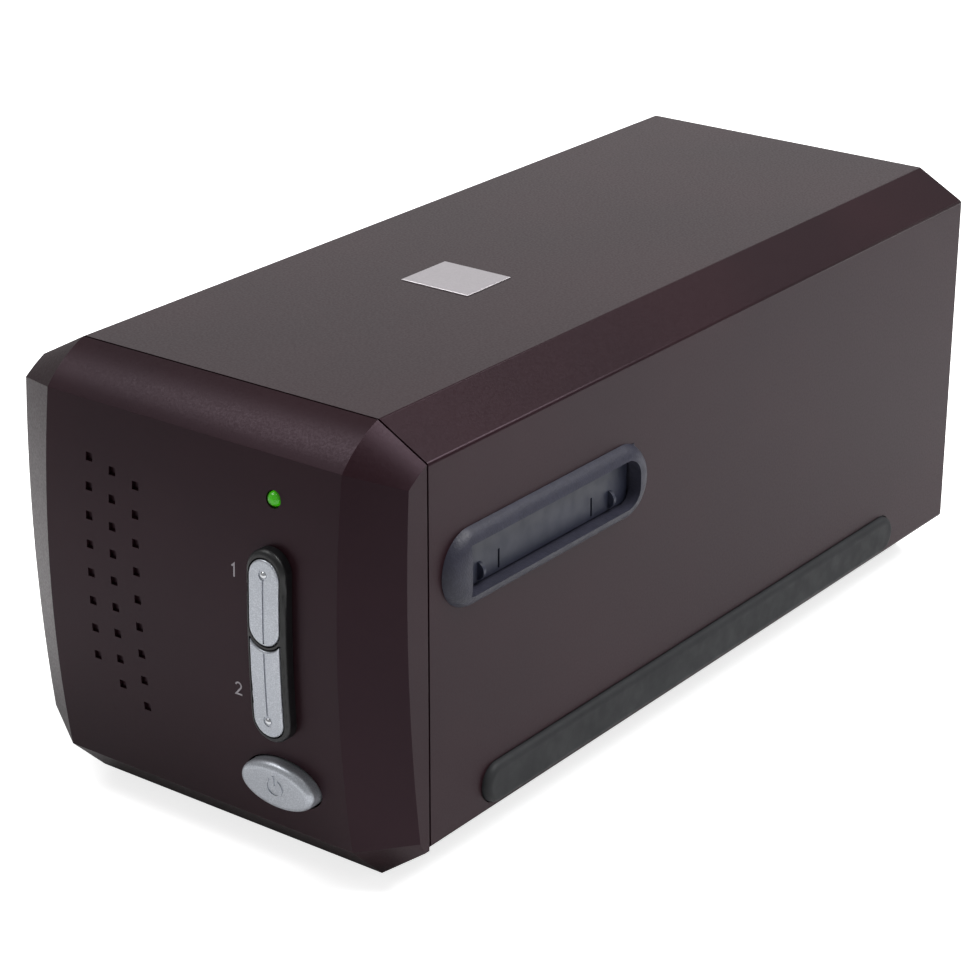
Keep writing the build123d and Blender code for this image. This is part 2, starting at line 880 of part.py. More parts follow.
# ---- side strips and badge --------------------------------------------------
with BuildSketch(Plane.YZ.offset(half_width - recess_depth + touch_gap)) as strip_outline:
    with Locations((strip_middle_y, strip_middle_z)):
        SlotOverall(strip_length, strip_height)

with BuildPart() as right_side_strip:
    extrude(strip_outline.sketch, amount=recess_depth - touch_gap + strip_stand)
    fillet(right_side_strip.faces().sort_by(Axis.X)[-1].edges(), radius=strip_round)
save(right_side_strip.part, "right_side_strip")

with BuildPart() as left_side_strip:
    mirror(right_side_strip.part, about=Plane.YZ)
save(left_side_strip.part, "left_side_strip")

with BuildPart() as badge_plate:
    block(
        (-badge_width / 2, seam_y + badge_start, top_z - badge_recess + touch_gap),
        (badge_width / 2, seam_y + badge_start + badge_length, top_z - badge_recess + badge_thickness),
    )
    chamfer(badge_plate.faces().sort_by(Axis.Z)[-1].edges(), length=badge_bevel)
save(badge_plate.part, "badge_plate")

# ---- slot surrounds ---------------------------------------------------------
# Each ring bulges outward from the case, steep at its outer edge and flat at its crown, with round ends.
ring_base_x = half_width + touch_gap
ring_crown_x = half_width + ring_stand
ring_y = slot_y - ring_shift
ring_end_y = (ring_length - ring_height) / 2
tunnel_outer_half = tunnel_length / 2 + tunnel_wall
tunnel_outer_low = (half_width - tunnel_reach, slot_y - tunnel_outer_half, tunnel_low - tunnel_wall)
tunnel_outer_high = (half_width + ring_anchor, slot_y + tunnel_outer_half, tunnel_high + tunnel_wall)
pivot_z = low_z + door_pivot_z

with BuildPart() as ring_end:
    with BuildSketch(Plane.XZ.offset(-(ring_y + ring_end_y))) as ring_section:
        with BuildLine():
            Line((ring_crown_x, ring_z), (ring_base_x, ring_z))
            Line((ring_base_x, ring_z), (ring_base_x, ring_z + ring_height / 2))
            Spline(
                (ring_base_x, ring_z + ring_height / 2),
                (ring_crown_x, ring_z + ring_crown),
                tangents=[(1, -ring_edge_slope), (0, -1)],
            )
            Line((ring_crown_x, ring_z + ring_crown), (ring_crown_x, ring_z))
        make_face()
    revolve(axis=Axis((0, ring_y + ring_end_y, ring_z), (1, 0, 0)), revolution_arc=-180)


def slot_surround(rear_round):
    """A right-hand surround: the raised ring and the tunnel behind it. rear_round shapes its mouth."""
    with BuildSketch(Plane.YZ.offset(half_width - touch_gap)) as mouth:
        with Locations((slot_y, slot_z)):
            Rectangle(slot_length, slot_height)
        fillet(mouth.vertices().group_by(Axis.X)[-1], radius=rear_round)
        fillet(mouth.vertices().group_by(Axis.X)[0], radius=slot_corner)
    with BuildPart() as surround:
        add(ring_end.part)
        mirror(ring_end.part, about=Plane.XZ.offset(-ring_y))
        extrude(ring_section.sketch, amount=2 * ring_end_y)
        mirror(about=Plane.XY.offset(ring_z))
        block(tunnel_outer_low, tunnel_outer_high)
        block(
            (half_width - tunnel_reach - 1, slot_y - tunnel_length / 2, tunnel_low),
            (half_width - touch_gap, slot_y + tunnel_length / 2, tunnel_high),
            Mode.SUBTRACT,
        )
        extrude(mouth.sketch, amount=ring_stand + 1, mode=Mode.SUBTRACT)
        shaft(
            door_pivot_x, pivot_z, tunnel_outer_low[1] - 1, tunnel_outer_high[1] + 1,
            door_pin_radius + pin_fit, Mode.SUBTRACT,
        )
    return surround.part


right_slot_surround = slot_surround(slot_round)
save(right_slot_surround, "right_slot_surround")

# The left mouth keeps square corners, because its door swings out through it.
with BuildPart() as left_slot_surround:
    mirror(slot_surround(slot_corner), about=Plane.YZ)
save(left_slot_surround.part, "left_slot_surround")

# ---- dust doors and their pins ----------------------------------------------
door_start = slot_y - slot_length / 2 + door_end_gap
door_end = slot_y + slot_length / 2 - door_end_gap
door_bottom = low_z + door_low
slit_places = [slot_y - door_panel_length / 2, slot_y + door_panel_length / 2]
fin_places = [slot_y - door_fin_spacing / 2, slot_y + door_fin_spacing / 2]

with BuildPart() as right_dust_door:
    block((door_face_x - door_thickness, door_start, door_bottom), (door_face_x, door_end, pivot_z))
    shaft(door_pivot_x, pivot_z, door_start, door_end, door_barrel_radius)
    for slit_y in slit_places:
        block(
            (door_face_x - door_slit_depth, slit_y - door_slit_width / 2, door_bottom + door_slit_low),
            (door_face_x + 1, slit_y + door_slit_width / 2, low_z + door_slit_high),
            Mode.SUBTRACT,
        )
    for fin_y in fin_places:
        shaft(
            door_face_x - door_thickness / 2, low_z + door_fin_z, fin_y - door_fin_thickness / 2,
            fin_y + door_fin_thickness / 2, door_fin_radius + door_thickness / 2,
        )
    block(
        (door_face_x - 3 * door_thickness, door_start - 1, door_bottom - 1),
        (door_face_x - door_thickness, door_end + 1, pivot_z - door_barrel_radius - pin_fit),
        Mode.SUBTRACT,
    )
    shaft(
        door_pivot_x, pivot_z, door_start - 1, door_end + 1,
        door_pin_radius + door_running_gap, Mode.SUBTRACT,
    )
save(right_dust_door.part, "right_dust_door")

with BuildPart() as left_dust_door:
    mirror(right_dust_door.part, about=Plane.YZ)
save(left_dust_door.part, "left_dust_door")

with BuildPart() as right_door_pin:
    shaft(
        door_pivot_x, pivot_z, tunnel_outer_low[1] + 2 * touch_gap, tunnel_outer_high[1] - 2 * touch_gap,
        door_pin_radius,
    )
save(right_door_pin.part, "right_door_pin")

with BuildPart() as left_door_pin:
    mirror(right_door_pin.part, about=Plane.YZ)
save(left_door_pin.part, "left_door_pin")

# ---- rear panel -------------------------------------------------------------
panel_outline = case_outline(panel_rear, wall + fit_gap)
usb_centre_z = low_z + usb_z
jack_centre_z = low_z + jack_z

with BuildPart() as rear_panel:
    extrude(panel_outline, amount=panel_thickness)
    for boss_at_x, boss_at_z in panel_bosses:
        shaft(boss_at_x, boss_at_z, panel_front - 1, panel_rear + 1, screw_radius + screw_gap, Mode.SUBTRACT)
    for port_x, port_z, width, height in [
        (usb_x, usb_centre_z, usb_width, usb_height),
        (jack_x, jack_centre_z, jack_width, jack_height),
    ]:
        block(
            (port_x - width / 2 - port_gap, panel_front - 1, port_z - height / 2 - port_gap),
            (port_x + width / 2 + port_gap, panel_rear + 1, port_z + height / 2 + port_gap),
            Mode.SUBTRACT,
        )
    for row in range(vent_rows):
        vent_z = low_z + vent_low + row * vent_pitch
        block(
            (-vent_half_width, panel_front - 1, vent_z - vent_half_height),
            (vent_half_width, panel_rear + 1, vent_z + vent_half_height),
            Mode.SUBTRACT,
        )
save(rear_panel.part, "rear_panel")

panel_head_rear = panel_rear + screw_head_height * panel_head_share
with BuildPart() as rear_panel_screws:
    for boss_at_x, boss_at_z in panel_bosses:
        shaft(boss_at_x, boss_at_z, panel_rear + touch_gap, panel_head_rear, screw_head_radius)
        shaft(
            boss_at_x, boss_at_z, panel_front - screw_length + 1, panel_rear + screw_head_height / 4,
            screw_radius - touch_gap,
        )
    with Locations([(x, panel_head_rear, z) for x, z in panel_bosses]):
        Box(screw_cross_length, screw_cross_depth, screw_cross_width, mode=Mode.SUBTRACT)
        Box(screw_cross_width, screw_cross_depth, screw_cross_length, mode=Mode.SUBTRACT)
save(rear_panel_screws.part, "rear_panel_screws")

# ---- main board and sockets -------------------------------------------------
main_board_rear = panel_front - main_board_gap
main_board_front = main_board_rear - board_thickness
socket_rear = panel_rear - port_socket_sink
board_corners = [
    (side * (main_board_half - spacer_inset), low_z + height)
    for side in (-1, 1)
    for height in (main_board_low + spacer_inset, main_board_high - spacer_inset)
]

with BuildPart() as board_spacers:
    for spacer_x, spacer_z in board_corners:
        shaft(spacer_x, spacer_z, main_board_rear + touch_gap, panel_front - touch_gap, spacer_radius)
save(board_spacers.part, "board_spacers")

with BuildPart() as main_board:
    block(
        (-main_board_half, main_board_front, low_z + main_board_low),
        (main_board_half, main_board_rear, low_z + main_board_high),
    )
    for chip_x, chip_z, chip_side, chip_height in board_chips:
        block(
            (chip_x - chip_side / 2, main_board_front - chip_height, low_z + chip_z - chip_side / 2),
            (chip_x + chip_side / 2, main_board_front, low_z + chip_z + chip_side / 2),
        )
    for can_x in capacitor_places:
        shaft(
            can_x, low_z + capacitor_z, main_board_front - capacitor_length, main_board_front,
            capacitor_radius,
        )
save(main_board.part, "main_board")

socket_middle_z = low_z + main_board_high - cable_socket_drop
usb_floor_y = socket_rear - usb_bore_depth
with BuildPart() as cable_socket:
    block(
        (
            -cable_width / 2 - cable_socket_rim,
            main_board_front - cable_socket_depth,
            socket_middle_z - cable_socket_height / 2,
        ),
        (
            cable_width / 2 + cable_socket_rim,
            main_board_front - touch_gap,
            socket_middle_z + cable_socket_height / 2,
        ),
    )
save(cable_socket.part, "cable_socket")

with BuildPart() as usb_socket:
    block(
        (usb_x - usb_width / 2, main_board_rear + touch_gap, usb_centre_z - usb_height / 2),
        (usb_x + usb_width / 2, socket_rear, usb_centre_z + usb_height / 2),
    )
    block(
        (usb_x - usb_width / 2 + usb_wall, usb_floor_y, usb_centre_z - usb_height / 2 + usb_wall),
        (usb_x + usb_width / 2 - usb_wall, socket_rear + 1, usb_centre_z + usb_height / 2 - usb_wall),
        Mode.SUBTRACT,
    )
    block(
        (usb_x - usb_tongue_half, usb_floor_y - usb_wall / 2, usb_centre_z - usb_tongue_half / 2),
        (usb_x + usb_tongue_half, usb_floor_y + usb_tongue, usb_centre_z + usb_tongue_half / 2),
    )
save(usb_socket.part, "usb_socket")

with BuildPart() as power_inlet:
    block(
        (jack_x - jack_width / 2, main_board_rear + touch_gap, jack_centre_z - jack_height / 2),
        (jack_x + jack_width / 2, socket_rear, jack_centre_z + jack_height / 2),
    )
    shaft(
        jack_x, jack_centre_z, socket_rear - jack_bore_depth, socket_rear + 1,
        jack_bore_radius, Mode.SUBTRACT,
    )
    shaft(jack_x, jack_centre_z, socket_rear - jack_bore_depth - 1, socket_rear - 1, jack_pin_radius)
save(power_inlet.part, "power_inlet")

# ---- chassis, guide rods and film channel -----------------------------------
plate_z = low_z + plate_low
plate_top = plate_z + plate_thickness
rod_centre_z = low_z + rod_z
front_upright_y = seam_y + upright_front
rear_upright_y = seam_y + upright_rear
channel_low = low_z + channel_floor - channel_wall
channel_posts = [
    (side * channel_post_x, seam_y + place)
    for side in (-1, 1)
    for place in (channel_post_front, channel_post_rear)
]

with BuildPart() as chassis:
    block(
        (-plate_narrow, seam_y + plate_start, plate_z + touch_gap),
        (plate_narrow, seam_y + plate_step, plate_top),
    )
    block(
        (-plate_wide, seam_y + plate_step, plate_z + touch_gap),
        (plate_wide, seam_y + plate_end, plate_top),
    )
    for upright_y in (front_upright_y, rear_upright_y):
        block(
            (-upright_half, upright_y, plate_z + plate_thickness / 2),
            (upright_half, upright_y + upright_thickness, low_z + upright_high),
        )
    for post_at_x, post_at_y in channel_posts:
        pillar(post_at_x, post_at_y, plate_z + plate_thickness / 2, channel_low - touch_gap, post_radius)
    for side in (-1, 1):
        shaft(side * rod_x, rod_centre_z, seam_y, rear_y, rod_radius + pin_fit, Mode.SUBTRACT)
    for post_at_x, post_at_y in chassis_posts:
        pillar(post_at_x, post_at_y, plate_z - 1, plate_top + 1, screw_radius + screw_gap, Mode.SUBTRACT)
save(chassis.part, "chassis")

with BuildPart() as chassis_screws:
    for post_at_x, post_at_y in chassis_posts:
        pillar(post_at_x, post_at_y, plate_top + touch_gap, plate_top + screw_head_height, screw_head_radius)
        pillar(
            post_at_x, post_at_y, plate_top - chassis_screw_length, plate_top + screw_head_height / 3,
            screw_radius - touch_gap,
        )
save(chassis_screws.part, "chassis_screws")

for side, side_name in ((-1, "left"), (1, "right")):
    with BuildPart() as guide_rod:
        shaft(
            side * rod_x, rod_centre_z, front_upright_y - rod_overhang,
            rear_upright_y + upright_thickness + rod_overhang, rod_radius,
        )
        chamfer(guide_rod.edges().filter_by(GeomType.CIRCLE), length=rod_lead_in)
    save(guide_rod.part, side_name + "_guide_rod")

channel_y0 = slot_y - slot_length / 2 - channel_side
channel_y1 = slot_y + slot_length / 2 + channel_side
channel_z1 = low_z + channel_ceiling

with BuildPart() as film_channel_lower:
    block(
        (-channel_half, channel_y0 - channel_wall, channel_low),
        (channel_half, channel_y1 + channel_wall, channel_z1),
    )
    block(
        (-channel_half - 1, channel_y0, low_z + channel_floor),
        (channel_half + 1, channel_y1, channel_z1 + 1),
        Mode.SUBTRACT,
    )
    block(
        (-window_half, seam_y + window_start, channel_low - 1),
        (window_half, seam_y + window_end, low_z + channel_floor + 1),
        Mode.SUBTRACT,
    )
save(film_channel_lower.part, "film_channel_lower")

roof_top = channel_z1 + channel_wall
with BuildPart() as film_channel_upper:
    block(
        (-channel_half, channel_y0 - channel_wall, channel_z1 + touch_gap),
        (channel_half, channel_y1 + channel_wall, roof_top),
    )
    block(
        (-window_half, seam_y + window_start, channel_z1 - 1),
        (window_half, seam_y + window_end, roof_top + 1),
        Mode.SUBTRACT,
    )
save(film_channel_upper.part, "film_channel_upper")

# ---- lamp over the film channel ---------------------------------------------
lamp_low = roof_top + touch_gap
lamp_high = lamp_low + lamp_height
diffuser_top = lamp_low + diffuser_thickness
lamp_board_low = lamp_high - lamp_wall - lamp_board_drop

with BuildPart() as lamp_housing:
    block((-lamp_half, seam_y + lamp_start, lamp_low), (lamp_half, seam_y + lamp_end, lamp_high))
    block(
        (-lamp_half + lamp_wall, seam_y + lamp_start + lamp_wall, lamp_low - 1),
        (lamp_half - lamp_wall, seam_y + lamp_end - lamp_wall, lamp_high - lamp_wall),
        Mode.SUBTRACT,
    )
save(lamp_housing.part, "lamp_housing")

with BuildPart() as lamp_diffuser:
    block(
        (-lamp_half + lamp_wall + touch_gap, seam_y + lamp_start + lamp_wall + touch_gap, lamp_low),
        (lamp_half - lamp_wall - touch_gap, seam_y + lamp_end - lamp_wall - touch_gap, diffuser_top),
    )
save(lamp_diffuser.part, "lamp_diffuser")

with BuildPart() as lamp_board:
    block(
        (-lamp_half + lamp_wall + touch_gap, seam_y + lamp_start + lamp_wall + touch_gap, lamp_board_low),
        (
            lamp_half - lamp_wall - touch_gap,
            seam_y + lamp_end - lamp_wall - touch_gap,
            lamp_board_low + board_thickness,
        ),
    )
    with Locations((0, seam_y + (lamp_start + lamp_end) / 2, lamp_board_low - lamp_led_height / 2)):
        with GridLocations(lamp_led_pitch, lamp_led_pitch, lamp_led_rows, lamp_led_rows):
            Box(lamp_led_size, lamp_led_size, lamp_led_height)
save(lamp_board.part, "lamp_board")

# ---- moving optics ----------------------------------------------------------
scan_y = seam_y + scan_home
bed_start = scan_y - bed_front
bed_floor = low_z + bed_low
bed_top = low_z + bed_high
beam_centre_z = low_z + beam_z
lens_start = scan_y + lens_offset
lens_end = lens_start + lens_length
sensor_front = scan_y + sensor_offset
sensor_board_front = sensor_front + sensor_depth
bed_end = sensor_board_front + board_thickness + touch_gap + bed_wall
nut_start = scan_y + nut_offset
nut_end = nut_start + nut_length
ear_places = [bed_start + ear_front, bed_start + ear_rear]
flag_y = scan_y + home_offset
flag_top = rod_centre_z + rod_radius + flag_clearance
flag_bottom = low_z + flag_low

with BuildPart() as carriage_bed:
    block((-bed_half, bed_start, bed_floor), (bed_half, bed_end, bed_top))
    block(
        (-bed_half + bed_wall, bed_start + bed_wall, bed_floor + bed_wall),
        (bed_half - bed_wall, bed_end - bed_wall, bed_top + 1),
        Mode.SUBTRACT,
    )
    for ear_y in ear_places:
        for side in (-1, 1):
            shaft(side * rod_x, rod_centre_z, ear_y, ear_y + ear_length, ear_radius)
    block(
        (-bed_half + bed_wall, bed_start + bed_wall, bed_floor + bed_wall),
        (bed_half - bed_wall, bed_end - bed_wall, bed_top + 1),
        Mode.SUBTRACT,
    )
    block(
        (-lens_radius - lens_block_side, lens_start + lens_block_inset, bed_floor + bed_wall / 2),
        (lens_radius + lens_block_side, lens_end - lens_block_inset, beam_centre_z),
    )
    block(
        (bed_half - bed_wall / 2, nut_start, rod_centre_z - ear_radius),
        (screw_x, nut_end, rod_centre_z + ear_radius),
    )
    shaft(screw_x, rod_centre_z, nut_start, nut_end, nut_radius + nut_wall)
    shaft(screw_x, rod_centre_z, nut_start - 1, nut_end + 1, nut_radius + touch_gap, Mode.SUBTRACT)
    for side in (-1, 1):
        shaft(side * rod_x, rod_centre_z, bed_start - 1, bed_end + 1, rod_radius + rod_gap, Mode.SUBTRACT)
    shaft(0, beam_centre_z, lens_start, lens_end, lens_radius + lens_gap, Mode.SUBTRACT)
    block(
        (home_x - flag_thickness / 2, flag_y - flag_length / 2, flag_top - flag_thickness),
        (-bed_half + bed_wall / 2, flag_y + flag_length / 2, flag_top),
    )
    block(
        (home_x - flag_thickness / 2, flag_y - flag_length / 2, flag_bottom),
        (home_x + flag_thickness / 2, flag_y + flag_length / 2, flag_top),
    )
save(carriage_bed.part, "carriage_bed")

with BuildPart() as drive_nut:
    shaft(screw_x, rod_centre_z, nut_start, nut_end, nut_radius)
    shaft(screw_x, rod_centre_z, nut_end, nut_end + nut_flange, nut_radius + nut_flange)
    shaft(screw_x, rod_centre_z, nut_start - 1, nut_end + 3, lead_screw_radius + nut_gap, Mode.SUBTRACT)
save(drive_nut.part, "drive_nut")

with BuildPart() as mirror_glass:
    with Locations(Location((0, scan_y, beam_centre_z), (-45, 0, 0))):
        Box(mirror_width, mirror_length, mirror_thickness)
save(mirror_glass.part, "mirror_glass")

cheek_middle = mirror_width / 2 + cheek_thickness / 2 + touch_gap
cheek_floor = bed_floor + bed_wall + touch_gap
with BuildPart() as mirror_holder:
    for side in (-1, 1):
        with BuildSketch(Plane.YZ.offset(side * cheek_middle - cheek_thickness / 2)) as cheek:
            with BuildLine():
                Polyline(
                    (scan_y - cheek_front, cheek_floor),
                    (scan_y + cheek_rear, cheek_floor),
                    (scan_y + cheek_rear, beam_centre_z + cheek_rear / 3),
                    (scan_y - cheek_front, beam_centre_z + cheek_rear),
                    close=True,
                )
            make_face()
        extrude(amount=cheek_thickness)
    block(
        (-cheek_middle, scan_y - cheek_front, cheek_floor),
        (cheek_middle, scan_y + cheek_rear, cheek_floor + cheek_thickness),
    )
save(mirror_holder.part, "mirror_holder")

with BuildPart() as lens_barrel:
    shaft(0, beam_centre_z, lens_start, lens_end, lens_radius)
    shaft(0, beam_centre_z, lens_start - 1, lens_end + 1, lens_radius - lens_wall, Mode.SUBTRACT)
save(lens_barrel.part, "lens_barrel")

with BuildPart() as lens_glass:
    for glass_start in (lens_start + 1, lens_end - 1 - lens_glass_depth):
        glass_end = glass_start + lens_glass_depth
        shaft(0, beam_centre_z, glass_start, glass_end, lens_radius - lens_wall - pin_fit)
save(lens_glass.part, "lens_glass")

with BuildPart() as sensor_board:
    block(
        (-bed_half + bed_wall + touch_gap, sensor_board_front, bed_floor + bed_wall + touch_gap),
        (bed_half - bed_wall - touch_gap, sensor_board_front + board_thickness, bed_top + sensor_board_rise),
    )
save(sensor_board.part, "sensor_board")

with BuildPart() as line_sensor:
    block(
        (-sensor_width / 2, sensor_front, beam_centre_z - sensor_height / 2),
        (sensor_width / 2, sensor_board_front - touch_gap, beam_centre_z + sensor_height / 2),
    )
save(line_sensor.part, "line_sensor")

# ---- drive ------------------------------------------------------------------
motor_y = seam_y + motor_start
bearing_y = seam_y + bearing_start

with BuildPart() as stepper_motor:
    shaft(screw_x, rod_centre_z, motor_y, motor_y + motor_length, motor_radius)
    chamfer(stepper_motor.edges().filter_by(GeomType.CIRCLE), length=motor_bevel)
    shaft(screw_x, rod_centre_z, motor_y - motor_boss_length, motor_y + 1, motor_boss_radius)
    shaft(
        screw_x, rod_centre_z, motor_y - motor_boss_length - 1, motor_y + motor_bore_depth,
        lead_screw_radius + nut_gap, Mode.SUBTRACT,
    )
save(stepper_motor.part, "stepper_motor")

with BuildPart() as motor_bracket:
    block(
        (screw_x - bracket_reach, motor_y - bracket_thickness, plate_top + touch_gap),
        (plate_wide, motor_y - touch_gap, rod_centre_z + bracket_rise),
    )
    block(
        (screw_x - bracket_reach, motor_y - bracket_foot, plate_top + touch_gap),
        (plate_wide, motor_y - touch_gap, plate_top + bracket_thickness),
    )
    shaft(
        screw_x, rod_centre_z, motor_y - bracket_thickness - 1, motor_y + 1,
        motor_boss_radius + touch_gap, Mode.SUBTRACT,
    )
save(motor_bracket.part, "motor_bracket")

with BuildPart() as screw_bearing:
    block(
        (screw_x - bearing_half, bearing_y, plate_top + touch_gap),
        (screw_x + bearing_half, bearing_y + bearing_length, rod_centre_z + bearing_half),
    )
    shaft(
        screw_x, rod_centre_z, bearing_y - 1, bearing_y + bearing_length + 1,
        lead_screw_radius + nut_gap, Mode.SUBTRACT,
    )
save(screw_bearing.part, "screw_bearing")

with BuildPart() as lead_screw:
    shaft(
        screw_x, rod_centre_z, bearing_y + lead_screw_inset,
        motor_y + motor_bore_depth - lead_screw_inset, lead_screw_radius,
    )
    chamfer(lead_screw.edges().filter_by(GeomType.CIRCLE), length=lead_screw_flat)
    block(
        (screw_x - lead_screw_flat, bearing_y, rod_centre_z + lead_screw_radius - lead_screw_flat),
        (screw_x + lead_screw_flat, bearing_y + bearing_length / 2, rod_centre_z + lead_screw_radius + 1),
        Mode.SUBTRACT,
    )
save(lead_screw.part, "lead_screw")

# ---- home sensor and flat cable ---------------------------------------------
with BuildPart() as home_sensor:
    block(
        (home_x - home_half, flag_y - home_half, plate_top + touch_gap),
        (home_x + home_half, flag_y + home_half, rod_centre_z - home_drop),
    )
    block(
        (home_x - home_slot_half, flag_y - home_half - 1, low_z + home_slot_low),
        (home_x + home_slot_half, flag_y + home_half + 1, rod_centre_z),
        Mode.SUBTRACT,
    )
save(home_sensor.part, "home_sensor")

cable_start_y = sensor_board_front + board_thickness + touch_gap
cable_start_z = bed_top + cable_rise
cable_end_y = main_board_front - cable_socket_depth - touch_gap
cable_room = cable_end_y - cable_start_y
cable_rise_y = cable_start_y + cable_lead_share * cable_room
cable_fall_y = cable_end_y - cable_lead_share * cable_room
cable_peak_z = top_z - cable_peak_drop
with BuildPart() as flat_cable:
    with BuildSketch(Plane.YZ.offset(-cable_width / 2)):
        with BuildLine() as cable_path:
            FilletPolyline(
                (cable_start_y, cable_start_z),
                (cable_rise_y, cable_start_z),
                (cable_rise_y, cable_peak_z),
                (cable_fall_y, cable_peak_z),
                (cable_fall_y, socket_middle_z),
                (cable_end_y, socket_middle_z),
                radius=cable_radius_share * cable_room,
            )
        trace(line_width=cable_thickness)
    extrude(amount=cable_width)
save(flat_cable.part, "flat_cable")
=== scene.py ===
"""Looks of a film negative scanner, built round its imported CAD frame.

Metres, +Z up, the front with the buttons towards -Y, the film slots on the two sides.
"""

import json
import math

import bpy
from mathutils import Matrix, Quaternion, Vector


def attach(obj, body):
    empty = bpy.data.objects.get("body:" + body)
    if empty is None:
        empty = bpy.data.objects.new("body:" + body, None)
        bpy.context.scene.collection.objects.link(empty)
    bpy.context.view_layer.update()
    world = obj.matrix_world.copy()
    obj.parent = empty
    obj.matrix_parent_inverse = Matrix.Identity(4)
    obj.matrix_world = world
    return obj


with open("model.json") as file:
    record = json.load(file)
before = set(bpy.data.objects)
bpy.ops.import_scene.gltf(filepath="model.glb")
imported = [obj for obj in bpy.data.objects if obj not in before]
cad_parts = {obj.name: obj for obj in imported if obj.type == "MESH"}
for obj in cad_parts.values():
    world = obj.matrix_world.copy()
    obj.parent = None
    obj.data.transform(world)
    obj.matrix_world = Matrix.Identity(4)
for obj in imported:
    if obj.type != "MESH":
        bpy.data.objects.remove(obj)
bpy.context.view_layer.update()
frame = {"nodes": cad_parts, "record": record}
nodes = frame["nodes"]

MM = 0.001

# ---- sizes in millimetres, with counts and shares ---------------------------
edge_width = 0.3
edge_weld = 0.01
edge_segments = 2

bezel_radius = 330.0
bezel_centre_y = 198.8
bezel_centre_z = 65.0

button_x = 26.9
cap_stand = 3.6
upper_stud_z = 81.75
lower_stud_z = 43.9
stud_radius = 1.03
stud_rise = 0.4
stud_rings = 6
stud_sectors = 24

label_x = 15.0
upper_label_z = 77.0
lower_label_z = 46.0
label_line = 0.42
label_rise = 0.03
sharpest_mitre = 0.4
one_top = 3.3
one_flag = (-0.75, 2.6)
two_bowl_radius = 0.85
two_bowl_z = 2.5
two_foot_z = 0.2
two_foot_ends = (-0.9, 1.0)

camera_lens = 106.467
camera_sensor = 36

# ---- angles in degrees ------------------------------------------------------
edge_angle = 24
stud_sweep = 75
two_bowl_start = 165
two_bowl_end = -45
two_bowl_step = 15
camera_roll = 0.118

# ---- places in metres -------------------------------------------------------
camera_place = (0.43132, -0.58785, 0.35879)
camera_aim = (-0.00457, -0.0052, 0.05159)
camera_near = 0.05


def srgb(red, green, blue):
    """A colour as a picture shows it, 0 to 255, as the linear colour that a shader takes."""
    linear = []
    for value in (red, green, blue):
        share = value / 255
        linear.append(share / 12.92 if share <= 0.04045 else ((share + 0.055) / 1.055) ** 2.4)
    return (*linear, 1.0)


# ---- materials --------------------------------------------------------------
class Finish:
    """A procedural material. Its patterns are laid out in the part's own metres."""

    def __init__(self, name, roughness, metallic=0.0, specular=0.5):
        self.material = bpy.data.materials.new(name)
        self.material.use_nodes = True
        self.tree = self.material.node_tree
        self.shader = self.tree.nodes["Principled BSDF"]
        self.shader.inputs["Metallic"].default_value = metallic
        self.shader.inputs["Roughness"].default_value = roughness
        self.shader.inputs["Specular IOR Level"].default_value = specular
        self.place = self.tree.nodes.new("ShaderNodeTexCoord").outputs["Object"]
        self.normal = None

    def node(self, kind, inputs, **settings):
        """Adds a node. An input that is a socket is linked, and any other is set."""
        made = self.tree.nodes.new(kind)
        for name, value in settings.items():
            setattr(made, name, value)
        for name, value in inputs.items():
            if isinstance(value, bpy.types.NodeSocket):
                self.tree.links.new(value, made.inputs[name])
            else:
                made.inputs[name].default_value = value
        return made

    def stretched(self, x, y, z):
        """The part's place, stretched so that a pattern runs longer one way."""
        inputs = {"Vector": self.place, "Scale": (x, y, z)}
        return self.node("ShaderNodeMapping", inputs).outputs["Vector"]

    def noise(self, size, detail=2.0, roughness=0.5, place=None):
        """Soft noise whose lumps are about size metres across, from 0 to 1."""
        inputs = {
            "Vector": place or self.place,
            "Scale": 1 / size,
            "Detail": detail,
            "Roughness": roughness,
        }
        return self.node("ShaderNodeTexNoise", inputs).outputs["Fac"]

    def cells(self, size, feature="F1"):
        """Cells about size metres across, by the distance to their middles or their edges."""
        inputs = {"Vector": self.place, "Scale": 1 / size}
        return self.node("ShaderNodeTexVoronoi", inputs, feature=feature).outputs["Distance"]

    def spread(self, value, low, high, start=0.35, end=0.65):
        """Maps the middle of a pattern onto low to high."""
        inputs = {"Value": value, "From Min": start, "From Max": end, "To Min": low, "To Max": high}
        return self.node("ShaderNodeMapRange", inputs).outputs["Result"]

    def colour(self, value, dark, light, start=0.35, end=0.65):
        """Base colour from dark to light by a pattern."""
        ramp = self.node("ShaderNodeValToRGB", {"Fac": self.spread(value, 0.0, 1.0, start, end)})
        ramp.color_ramp.elements[0].color = dark
        ramp.color_ramp.elements[1].color = light
        self.tree.links.new(ramp.outputs["Color"], self.shader.inputs["Base Color"])

    def gloss(self, value, low, high):
        """Roughness from low to high by a pattern."""
        self.tree.links.new(self.spread(value, low, high), self.shader.inputs["Roughness"])

    def bump(self, height, depth, strength=1.0):
        """Raises the surface by a pattern, depth metres from 0 to 1, on top of earlier bumps."""
        inputs = {"Height": height, "Distance": depth, "Strength": strength}
        if self.normal is not None:
            inputs["Normal"] = self.normal
        self.normal = self.node("ShaderNodeBump", inputs).outputs["Normal"]
        self.tree.links.new(self.normal, self.shader.inputs["Normal"])

    def set(self, **values):
        """Sets shader sockets by name, with _ for a space."""
        for name, value in values.items():
            self.shader.inputs[name.replace("_", " ")].default_value = value


